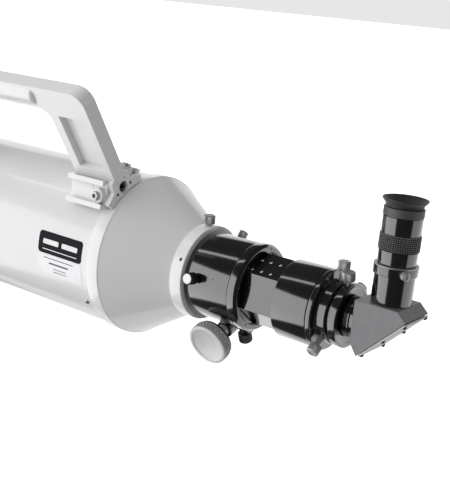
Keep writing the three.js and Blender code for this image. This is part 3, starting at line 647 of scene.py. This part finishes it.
def make_ring(word, station):
    place = AXIS @ moved(station)
    half, foot, side = 15, 15 - AXIS_Z / MM + 0.4, 5.3

    def arch(start, end):
        return arc(98, start, end, 64) + arc(89.5, end, start, 64)

    def knuckle(start, end):
        return at(lathe(rod(start, end, 6), 40, soft=0.4), moved(y=HINGE_Y))

    def felt(start, end):
        return prism(arc(89.3, start, end, 64) + arc(87.8, end, start, 64), -half + 1, half - 1)

    def lobes(s, r, t):
        return -1.0 * (1 - math.cos(2 * math.pi * 7 * t)) if r > 6 else 0.0

    pin_hole = drill(-20, 20, 2.9, moved(y=HINGE_Y))
    stem = drill(-16, 20, 4.4, moved(y=CLAMP_Y), "Z")
    bolt = lathe(rod(foot - 1, foot + 9, 3.4), 32, "Z", soft=0)
    lower = join(
        prism(arch(180.3, 359.7), -half, half), block((-half, half), (-30, 30), (foot, -91.5)),
        block((-11, 11), (-116, -94), (-14, -0.4)), block((-half, -side), (94, HINGE_Y), (-6, -0.4)),
        block((side, half), (94, HINGE_Y), (-6, -0.4)), knuckle(-half, -side), knuckle(side, half),
    )
    lower = cut(lower, pin_hole.copy(), stem.copy(), bolt)
    piece(f"ring_lower_{word}_casting", lower, place, "base", WHITE, [f"ring_lower_{word}"],
          bevel=0.8)
    upper = join(
        prism(arch(0.3, 179.7), -half, half), block((-11, 11), (-116, -94), (0.4, 14)),
        block((-4.9, 4.9), (94, HINGE_Y), (0.4, 6)), knuckle(-4.9, 4.9),
    )
    upper = cut(upper, pin_hole, stem)
    piece(f"ring_upper_{word}_casting", upper, place, f"ring_top_{word}", WHITE,
          [f"ring_upper_{word}"], bevel=0.8)
    piece(f"ring_felt_lower_{word}", felt(182, 358), place, "base", FELT)
    piece(f"ring_felt_upper_{word}", felt(2, 178), place, f"ring_top_{word}", FELT)
    pin = lathe(rod(-16, 16, 2.5), 40, soft=0.6)
    piece(f"ring_hinge_pin_{word}_turned", at(pin, moved(y=HINGE_Y)), place, "base", STEEL,
          [f"ring_hinge_pin_{word}"])
    outline = [
        (-12, 0), (-12, 3), (14.4, 3), (14.4, 9), (17, 9), (20, 8.9), (24, 8.6), (27.4, 7.6), (27.4, 0),
    ]
    knob = lathe(outline, 112, "Z", soft=0.9, relief=lobes)
    piece(f"ring_clamp_knob_{word}_lobed", at(knob, moved(y=CLAMP_Y)), place, f"ring_knob_{word}", PLASTIC,
          [f"ring_clamp_knob_{word}"])


# ---- focuser ----
def make_focuser():
    outline = [
        (56, 0), (56, 43.9), (82.4, 43.9), (82.4, 45.5), (138.1, 45.5), (138.1, 44), (146, 44), (146, 0),
    ]
    tools = [
        prism(hexagon(66.6), 55, 147), block((55, 147), (-7, 7), (-37.8, -30)),
        block((105, 126), (-8.2, 8.2), (-60, -30)),
        radial(PRESS_X, PRESS_TURN, 30, 50, 3.5), radial(PRESS_X, -PRESS_TURN, 30, 50, 3.5),
        drill(-60, 60, 4.5, moved(PINION_X, 0, PINION_UP), "Y"),
    ]
    piece("focuser_body_tube", cut(lathe(outline, 160, soft=0.6), *tools), FOCUSER, "focuser", BLACK,
          ["focuser_body"])
    turns = [turn - FOCUSER_TURN for turn in (79, 146, 212, -12)]

    def seat(turn):
        return turned(turn) @ moved(150.05, 0, 42.3) @ turned(90, "Y")

    outline = [
        (138.5, 44.4), (138.5, 46.4), (147, 46.4), (150, 43.6), (150, 39), (146.4, 39), (146.4, 44.4),
    ]
    holes = [drill(-1.1, 2, 1.5, seat(turn), "Z", 24) for turn in turns]
    piece("focuser_end_ring_turned", cut(lathe(outline, 160, soft=0.7), *holes), FOCUSER, "focuser", BLACK,
          ["focuser_end_ring"])
    heads = [at(socket_screw(1.35, 1, 0.8, 1.3), seat(turn)) for turn in turns]
    piece("end_ring_screws", merged(*heads), FOCUSER, "focuser", STEEL)
    grub_place = moved(119) @ turned(78 - FOCUSER_TURN) @ moved(z=45.7)
    piece("focuser_body_grub_screw", at(socket_screw(1.1, 1.5, 0.8, 1.0), grub_place), FOCUSER, "focuser",
          DARK_STEEL)


def make_housing():
    boss = at(lathe(rod(-31, 31, 9.5), 64, "Y", soft=0.8), moved(PINION_X, 0, PINION_UP - 1))
    sides = [(-16, -36), (-16, -52), (-11, -57), (11, -57), (16, -52), (16, -36)]
    body = join(prism(sides, 97, 134), boss)
    shaft = moved(PINION_X, 0, PINION_UP)
    tools = [
        lathe(rod(50, 138, 45.9), 160, soft=0), drill(-8.2, 8.2, 9.3, shaft, "Y", 48),
        drill(-60, 60, 4.5, shaft, "Y"), drill(-60, -50, 3.5, moved(PINION_X), "Z"),
    ]
    piece("pinion_housing_casting", cut(body, *tools), FOCUSER, "focuser", BLACK,
          ["pinion_housing"], bevel=0.8)
    bolts = [at(socket_screw(1.9, 1.6, 1.0, 1.8), moved(x, y, -57.2) @ turned(180, "X"))
             for x in (101, 130) for y in (-7, 7)]
    piece("pinion_housing_screws", merged(*bolts), FOCUSER, "focuser", DARK_STEEL)


def make_press_screws():
    left, right = (moved(PRESS_X) @ turned(turn) for turn in (PRESS_TURN, -PRESS_TURN))
    knob = at(thumbscrew(34, 48, 11.4, 3, 6.3, 36, 0.3), left)
    piece("tension_knob_knurled", knob, FOCUSER, "tension", PLASTIC, ["tension_knob"])
    cap = at(lathe(rod(59.05, 60, 5.2), 64, "Z", soft=0.4), left)
    piece("tension_knob_cap", cap, FOCUSER, "tension", WHITE_CAP)
    brake = at(thumbscrew(34, 47, 8.5, 3, 5, 36, 0.25), right)
    piece("brake_thumbscrew", brake, FOCUSER, "brake", CHROME, ["brake_screw"])
    outline = [(54.4, 0), (54.4, 3), (69, 3), (69, 6.6), (69.8, 7.6), (80, 7.6), (81, 6.4), (81, 0)]
    lock = lathe(outline, 144, "Z", soft=0.4, relief=straight_knurl(36, 0.35, 7.2))
    piece("focus_lock_knob_knurled", at(lock, moved(PINION_X) @ turned(180)), FOCUSER, "focus_lock", PLASTIC,
          ["focus_lock_knob"])


def gear_outline():
    """The pinion's involute teeth, with the first tooth towards the rack."""
    pitch = GEAR_MODULE * GEAR_TEETH / 2
    base = pitch * math.cos(GEAR_PRESSURE)

    def involute(r):
        angle = math.acos(min(1.0, base / r))
        return math.tan(angle) - angle

    def half_at(r):
        return (math.pi * GEAR_MODULE / 4 - BACKLASH) / pitch + involute(pitch) - involute(max(r, base))

    radii = [pitch - 1.25, base, pitch - 0.1, pitch + 0.35, pitch + 0.9]
    outline = []
    for tooth in range(GEAR_TEETH):
        middle = math.pi / 2 + 2 * math.pi * tooth / GEAR_TEETH
        for side, order in ((-1, radii), (1, radii[::-1])):
            for r in order:
                angle = middle + side * half_at(r)
                outline.append((r * math.cos(angle), r * math.sin(angle)))
    return outline


def make_shaft():
    place = FOCUSER @ moved(PINION_X, 0, PINION_UP)
    core = join(lathe(rod(-57, 57, 4), 48, "Y", soft=0.5), prism(gear_outline(), -7, 7, "Y"))
    piece("pinion_shaft_toothed", core, place, "focus_shaft", STEEL, ["pinion_shaft"])
    outline = [
        (60.6, 0), (60.6, 18.2), (61.3, 18.8), (61.6, 19.2), (61.6, 22.3), (60.5, 23.5),
        *rows(60.3, 51.3, 23.5, 24), (51.1, 23.5), (50.1, 22.4), (50.1, 6.3), (31.6, 6.3), (31.6, 4.4),
        (57.4, 4.4), (57.4, 0),
    ]

    def shaded_groove(centre):
        """1 for the faces at the bottom of the crossed grooves around the rim, which get a dark colour as
        painted shade.
        """
        return int(22.4 < math.hypot(centre.x, centre.z) < 22.98 and 51.2 < abs(centre.y) < 60.3)

    for word, side in (("left", -1), ("right", 1)):
        flipped = [(side * y, r) for y, r in outline]
        grip = crossed_knurl(64, 0.75, 23.2, 2.25)
        knob = lathe(flipped, 384, "Y", soft=0.12, steps=1, relief=grip)
        piece(f"focus_knob_{word}_knurled", knob, place, "focus_shaft", [TURNED, KNURL_SHADE],
              [f"focus_knob_{word}"], smooth=30, region=shaded_groove)
        back = lathe(wall(side * 50, side * 47.2, 21.6, 6.4), 96, "Y", soft=0.6)
        piece(f"focus_knob_{word}_back", back, place, "focus_shaft", PLASTIC)


def make_marks():
    """The focus scale: a tick and a dot at each station of two rows along the drawtube's top flat."""
    marks = []
    for turn, stations in ((87.8, (152, 163, 174)), (58.3, (152.5, 163, 174.4, 184.8))):
        low = -FLAT_UP * math.tan(math.radians(turn + FOCUSER_TURN - 90)) - 1.3
        for x in stations:
            tick = block((x - 0.5, x + 0.5), (low, low + 2.6), (0, 0.12))
            dot = block((x - 1.6, x - 0.5), (low, low + 1), (0, 0.12))
            marks += [at(bm, moved(z=FLAT_UP + 0.02)) for bm in (tick, dot)]
    piece("drawtube_scale_marks", merged(*marks), FOCUSER, "draw", MARKS)


def make_rack():
    spacing, slope = math.pi * GEAR_MODULE, math.tan(GEAR_PRESSURE)
    line, half = PINION_UP + GEAR_MODULE * GEAR_TEETH / 2, spacing / 4 - BACKLASH
    root_depth, tip_height, back = 1.1, 0.9, -32.9
    root, tip = line + root_depth, line - tip_height
    wide, narrow = half + root_depth * slope, half - tip_height * slope
    first, last = (math.ceil((x - PINION_X) / spacing - 0.5) for x in (81, 165))
    points = [(79, back), (79, root)]
    for k in range(first, last):
        middle = PINION_X + (k + 0.5) * spacing
        points += [(middle - wide, root), (middle - narrow, tip)]
        points += [(middle + narrow, tip), (middle + wide, root)]
    points += [(167, root), (167, back)]
    piece("focus_rack_toothed", prism(points, -6, 6, "Y"), FOCUSER, "draw", STEEL, ["focus_rack"])


def make_drawtube():
    body = cut(prism(hexagon(2 * FLAT_UP), 50, 188), lathe(rod(49, 189, 29.5), 96, soft=0))
    piece("drawtube_hexagon", body, FOCUSER, "draw", [BLACK, INSIDE], ["drawtube"], bevel=0.9,
          region=inner(30.5), smooth=20)
    make_marks()
    make_rack()
    sleeve = lathe(wall(188.3, 228.2, 40.5, 29.5), 160, soft=0.7)
    piece("drawtube_sleeve_turned", sleeve, FOCUSER, "draw", [BLACK, INSIDE],
          ["drawtube_sleeve"], region=inner(30.5))
    outline = [
        (228.5, 25.7), (228.5, 40.4), (229.4, 41.2), (233.4, 41.2), (234.2, 40.4), (234.2, 32.5),
        (244.4, 32.5), (245.2, 31.7), (245.2, 25.7),
    ]
    screws = (("top", -0.5, 42.5), ("low", 129, 43.2), ("side", -68, 37))
    holes = [radial(ACCESSORY_SCREW_X, turn - FOCUSER_TURN, 22, 50, 3.7) for _, turn, _ in screws]
    piece("accessory_ring_turned", cut(lathe(outline, 160, soft=0.3), *holes), FOCUSER, "draw", BLACK,
          ["accessory_ring"])
    for word, turn, seat in screws:
        screw = at(thumbscrew(26.2, seat, 9.5, 3.2, 6.4), moved(ACCESSORY_SCREW_X) @ turned(turn))
        piece(f"accessory_thumbscrew_{word}", screw, AXIS, f"ring_screw_{word}", CHROME,
              [f"accessory_screw_{word}"])


def make_adapter():
    outline = [
        (206, 16.2), (206, 25.2), (245.5, 25.2), (245.5, 29.6), (248.3, 29.6), (248.9, 32.5), (256.4, 32.5),
        (256.4, 28), (255.6, 27.4), (255.6, 16.2),
    ]
    hole = radial(ADAPTER_SCREW_X, ADAPTER_SCREW_TURN, 12, 40, 2.8)
    piece("eyepiece_adapter_turned", cut(lathe(outline, 160, soft=0.6), hole), AXIS, "adapter", BLACK,
          ["eyepiece_adapter"])
    screw = at(thumbscrew(16.9, 37, 9.5, 2.3, 6.4), moved(ADAPTER_SCREW_X) @ turned(ADAPTER_SCREW_TURN))
    piece("adapter_thumbscrew", screw, AXIS, "adapter_clamp", CHROME, ["adapter_screw"])


# ---- star diagonal ----
def make_diagonal():
    nose = [
        (226, 14), (226, 15.8), (256.8, 15.8), (256.8, 21), (260.1, 21), (260.1, 19.4), (261.9, 19.4),
        (261.9, 21), (264.2, 21), (264.2, 19.2), (269.9, 19.2), (269.9, 14),
    ]
    piece("diagonal_nose_turned", lathe(nose, 128, soft=0.4), AXIS, "diagonal", [BLACK, INSIDE],
          ["diagonal_nose"], region=inner(14.6))
    tail_x, tail_up = 323.8, 16.2
    outline = [(270.2, 24.9), (314.4, 24.9), (tail_x, tail_up), (278.6, -29), (270.2, -17)]
    face = (tail_x - tail_up - EYE_X) / math.sqrt(2)
    slant = moved(EYE_X) @ turned(-45, "Y")

    def slab(along, across, near, far):
        """A plate along the slant, from near to far behind the mirror's face."""
        return at(block((-along, along), (-across, across), (-far, -near)), slant)

    body = cut(
        prism(outline, -24, 24, "Y"), lathe(rod(269, EYE_X, 14), 64, soft=0),
        drill(0, 26, 14, moved(EYE_X), "Z", 64), slab(24, 18.5, -1, face + 3),
    )
    piece("diagonal_housing_folded", body, AXIS, "diagonal", GREY, ["diagonal_housing"],
          bevel=0.55, edge_look=DARK_STEEL)
    piece("diagonal_mirror_plate", slab(23.5, 18, 0, 6), AXIS, "diagonal", MIRROR,
          ["diagonal_mirror"], bevel=0.5)
    piece("mirror_cover_plate", slab(30, 24, face + 0.5, face + 2.3), AXIS, "diagonal", PLATE,
          ["mirror_cover"], bevel=0.3)
    heads = []
    for along in (-27.5, 0, 27.5):
        for across in (-21.5, 21.5):
            head = lathe([(0, 0), (0, 2.1), (0.9, 2.0), (1.7, 1.2), (1.8, 0)], 32, "Z", soft=0.2)
            heads.append(at(head, slant @ moved(along, across, -face - 2.3) @ turned(180, "X")))
    piece("mirror_cover_screws", merged(*heads), AXIS, "diagonal", DARK_STEEL)

    holder = [(25.3, 16.3), (25.3, 19.5), (53, 19.5), (53, 20.9), (53.5, 21.3), (61.4, 21.3), (61.4, 16.3)]
    facing = turned(46, "Z") @ turned(90, "X")
    hole = drill(12, 30, 2.5, moved(z=HOLDER_SCREW_UP) @ facing, "Z")
    piece("eyepiece_holder_turned", cut(lathe(holder, 128, "Z", soft=0.35), hole), EYE, "diagonal",
          [BLACK, INSIDE], ["eyepiece_holder"], region=inner(16.8, "Z"))
    lip = lathe(wall(61.5, 62.4, 21.35, 16.6), 128, "Z", soft=0.25)
    piece("eyepiece_holder_lip", lip, EYE, "diagonal", CHROME)
    screw = thumbscrew(16.9, 22.6, 6.4, 2, 4.2, 30, 0.2)
    piece("holder_thumbscrew", at(screw, moved(z=HOLDER_SCREW_UP) @ facing), EYE, "holder_clamp", CHROME,
          ["holder_screw"])


def make_eyepiece():
    barrel = lathe([(34, 14), (34, 15.4), (34.4, 15.8), (62.5, 15.8), (62.5, 14)], 96, "Z", soft=0.3)
    piece("eyepiece_barrel_turned", barrel, EYE, "eyepiece", [CHROME, INSIDE], ["eyepiece_barrel"],
          region=inner(14.6, "Z"))
    outline = [
        (62.8, 13), (62.8, 18.4), (76.0, 18.7), (76.0, 18.1), (92.0, 18.1), (92.0, 18.8), (107.9, 18.8),
        (107.9, 18.3), (108.3, 18.3), (108.3, 12.4), (110, 11), (69, 11), (64, 13),
    ]
    body = lathe(outline, 160, "Z", soft=0.3)
    piece("eyepiece_body_turned", body, EYE, "eyepiece", BLACK, ["eyepiece_body"])
    grip = [(76.3, 18.2), (76.3, 19.2), *rows(76.5, 91.5, 19.6, 64), (91.7, 19.2), (91.7, 18.2)]
    band = lathe(grip, 432, "Z", soft=0, relief=crossed_knurl(54, 0.8, 19.4, 15 / 8, square=True))

    def shaded_groove(centre):
        """1 for the faces at the bottom of the grooves between the grip's studs, which get the black lining
        as painted shade.
        """
        return int(math.hypot(centre.x, centre.y) < 19.25 and 76.6 < centre.z < 91.4)

    # The black lining on the grip's groove bottoms is painted shade.
    piece("eyepiece_grip_band", band, EYE, "eyepiece", [GRIP, INSIDE], smooth=20, region=shaded_groove)
    cap = lathe([(108.5, 12.6), (108.5, 19.1), (116.4, 19.1), (116.4, 12.4), (111, 11.6)], 128, "Z", soft=0.6)
    piece("eyepiece_top_ring", cap, EYE, "eyepiece", DARK_GREY)
    lens_r, crest, bulge = 10.5, 112.2, 3.2
    dome = [(crest - bulge * (r / lens_r) ** 2, r) for r in (9, 7, 5, 3, 1.5)]
    curve = [(104, 0), (104, lens_r), (crest - bulge, lens_r), *dome, (crest, 0)]
    piece("eye_lens_glass", lathe(curve, 64, "Z", soft=0.1), EYE, "eyepiece", GLASS, ["eye_lens"])
    cup = [
        (116.8, 13), (116.8, 17.5), (118.0, 17.6), (119.6, 18.3), (121.4, 19.7), (123.2, 21.5), (124.4, 21.6),
        (124.4, 20.7), (122.4, 18.9), (120.4, 16.4), (118.6, 14.2),
    ]
    piece("eyecup_moulded", lathe(cup, 128, "Z", soft=0.45), EYE, "eyepiece", RUBBER, ["eyecup"])


make_tube()
make_cone()
make_saddles()
make_handle()
make_shoes()
make_label()
make_bar()
for ring_word, ring_station in RING_STATIONS.items():
    make_ring(ring_word, ring_station)
make_focuser()
make_housing()
make_press_screws()
make_shaft()
make_drawtube()
make_adapter()
make_diagonal()
make_eyepiece()

# ---- floor, light and camera ----


def make_floor():
    bm = bmesh.new()
    reach, level = 60.0, -0.001
    corners = ((-reach, -reach), (reach, -reach), (reach, reach), (-reach, reach))
    bm.faces.new([bm.verts.new((x, y, level)) for x, y in corners])
    mesh = bpy.data.meshes.new("floor")
    bm.to_mesh(mesh)
    bm.free()
    look = bpy.data.materials.new("pale_floor")
    look.use_nodes = True
    shader = look.node_tree.nodes["Principled BSDF"]
    shader.inputs["Base Color"].default_value = (0.9, 0.9, 0.9, 1)
    shader.inputs["Roughness"].default_value = 1.0
    shader.inputs["Emission Color"].default_value = (1, 1, 1, 1)
    shader.inputs["Emission Strength"].default_value = 0.7
    mesh.materials.append(look)
    floor = bpy.data.objects.new("floor", mesh)
    scene.collection.objects.link(floor)
    floor.visible_glossy = False
    floor.visible_diffuse = False
    floor.visible_shadow = False


def make_world():
    """A studio: white to the camera, even light on matt surfaces, bright zones for glossy ones to mirror."""
    world = bpy.data.worlds.new("studio")
    scene.world = world
    world.use_nodes = True
    nodes, links = world.node_tree.nodes, world.node_tree.links
    nodes.clear()

    def maths(operation, a, b=0.0, c=0.0):
        node = nodes.new("ShaderNodeMath")
        node.operation = operation
        for socket, value in zip(node.inputs, (a, b, c)):
            if isinstance(value, (int, float)):
                socket.default_value = value
            else:
                links.new(value, socket)
        return node.outputs[0]

    def between(value, low, high, blur):
        up = nodes.new("ShaderNodeMapRange")
        up.interpolation_type = "SMOOTHSTEP"
        down = nodes.new("ShaderNodeMapRange")
        down.interpolation_type = "SMOOTHSTEP"
        for node, edge in ((up, low), (down, high)):
            links.new(value, node.inputs["Value"])
            node.inputs["From Min"].default_value = edge - blur
            node.inputs["From Max"].default_value = edge + blur
        return maths("MULTIPLY", up.outputs[0], maths("SUBTRACT", 1.0, down.outputs[0]))

    where = nodes.new("ShaderNodeTexCoord")
    split = nodes.new("ShaderNodeSeparateXYZ")
    links.new(where.outputs["Generated"], split.inputs[0])
    x, y, z = split.outputs
    degree = 180 / math.pi
    azimuth = maths("MULTIPLY", maths("ARCTAN2", x, maths("MULTIPLY", y, -1.0)), degree)
    elevation = maths("MULTIPLY", maths("ARCSINE", z), degree)
    roll = maths("MULTIPLY", maths("ARCTAN2", z, maths("MULTIPLY", y, -1.0)), degree)

    # The lit zones, each with its two edges and how soft they are, in degrees (x in shares of the sphere).
    left_box = maths("MULTIPLY", between(azimuth, -86, -9, 3), between(elevation, -45, 24, 2))
    strip = maths("MULTIPLY", between(roll, 69, 76, 1.0), between(x, -1.5, -0.2, 0.1))
    behind = maths("MAXIMUM", between(azimuth, 86, 400, 4), between(azimuth, -400, -122, 4))
    behind = maths("MULTIPLY", behind, between(elevation, -100, 27, 3))
    below = maths("MULTIPLY", between(roll, -182, -98, 4), between(elevation, -95, -40, 4))
    below_share, behind_share = 0.45, 0.5
    below = maths("MULTIPLY", below, below_share)
    behind = maths("MULTIPLY", behind, behind_share)
    lit = maths("MAXIMUM", maths("MAXIMUM", left_box, strip), maths("MAXIMUM", behind, below))
    box_light, gap_light = 2.6, 0.06
    mirrored_light = maths("ADD", maths("MULTIPLY", lit, box_light), gap_light)

    path = nodes.new("ShaderNodeLightPath")
    glossy = path.outputs["Is Glossy Ray"]
    camera = path.outputs["Is Camera Ray"]
    # The even light is strongest from the telescope's front left and never under its least.
    even_light, least_light, from_front, from_left, from_above = 0.98, 0.34, 1.0, 0.35, 0.10
    even = maths("ADD", maths("MULTIPLY", x, -from_front), maths("MULTIPLY", y, -from_left))
    even = maths("ADD", maths("ADD", even, even_light), maths("MULTIPLY", z, from_above))
    even = maths("MAXIMUM", even, least_light)
    even = maths("MULTIPLY", maths("SUBTRACT", 1.0, glossy), even)
    strength = maths("ADD", maths("MULTIPLY", glossy, mirrored_light), even)
    strength = maths("ADD", camera, maths("MULTIPLY", maths("SUBTRACT", 1.0, camera), strength))
    background = nodes.new("ShaderNodeBackground")
    links.new(strength, background.inputs["Strength"])
    out = nodes.new("ShaderNodeOutputWorld")
    links.new(background.outputs[0], out.inputs["Surface"])


def softbox(name, location, target, size, power):
    data = bpy.data.lights.new(name, "AREA")
    data.shape = "RECTANGLE"
    data.size, data.size_y = size
    data.energy = power
    light = bpy.data.objects.new(name, data)
    light.location = location
    light.rotation_euler = (Vector(target) - Vector(location)).to_track_quat("-Z", "Y").to_euler()
    scene.collection.objects.link(light)
    light.visible_glossy = False
    light.visible_camera = False


def make_camera():
    """The viewpoint: azimuth from the left side towards the rear, elevation, and a slight roll."""
    data = bpy.data.cameras.new("camera")
    data.lens = 67.62
    data.sensor_width = 36
    camera = bpy.data.objects.new("camera", data)
    scene.collection.objects.link(camera)
    around, above, roll = math.radians(35.94), math.radians(14.74), math.radians(5.58)
    back = Vector((math.sin(around) * math.cos(above), -math.cos(around) * math.cos(above), math.sin(above)))
    level = Vector((math.cos(around), math.sin(around), 0))
    up = back.cross(level)
    right = level * math.cos(roll) + up * math.sin(roll)
    top = up * math.cos(roll) - level * math.sin(roll)
    rotation = Matrix((right, top, back)).transposed()
    place = moved(BAND_X + 0.6652, -0.7823, AXIS_Z + 0.2817)
    camera.matrix_world = place @ rotation.to_4x4()
    data.clip_start, data.clip_end = 0.05, 200
    scene.camera = camera


scene.view_settings.view_transform = "Standard"
make_floor()
make_world()
softbox("key", (-0.5, -1.5, 1.5), (0.4, 0, 0.12), (1.4, 1.0), 6)
make_camera()
